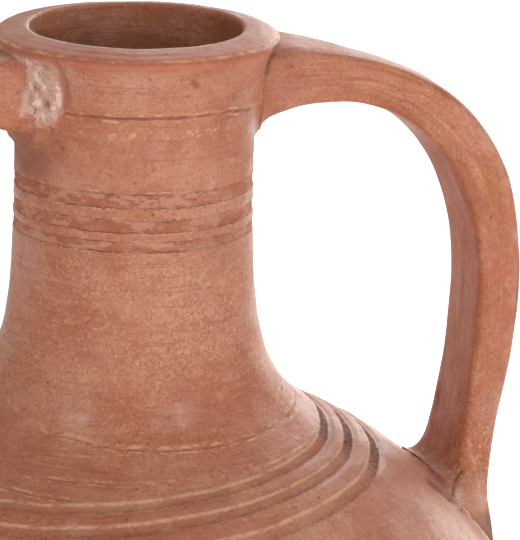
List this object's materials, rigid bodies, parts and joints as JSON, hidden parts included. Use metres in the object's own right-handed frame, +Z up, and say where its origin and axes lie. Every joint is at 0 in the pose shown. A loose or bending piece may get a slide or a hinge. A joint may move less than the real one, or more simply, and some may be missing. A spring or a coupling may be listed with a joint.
{
  "type": "two-handled vase",
  "caption": "Tall unglazed terracotta vase with a flat rim, ring-grooved neck and shoulder, round belly and two strap handles from rim to shoulder.",
  "frame": {"origin": "centre of the flat foot, on the surface that the vase stands on", "axes": "+Z up along the axis of the thrown body, handles at +X and -X, +Y away from the side that the picture shows"},
  "size_m": [0.34, 0.34, 0.48],
  "materials": {
    "vase": "matt unglazed terracotta"
  },
  "bodies": {
    "root": {"vase": "vase"}
  },
  "joints": []
}
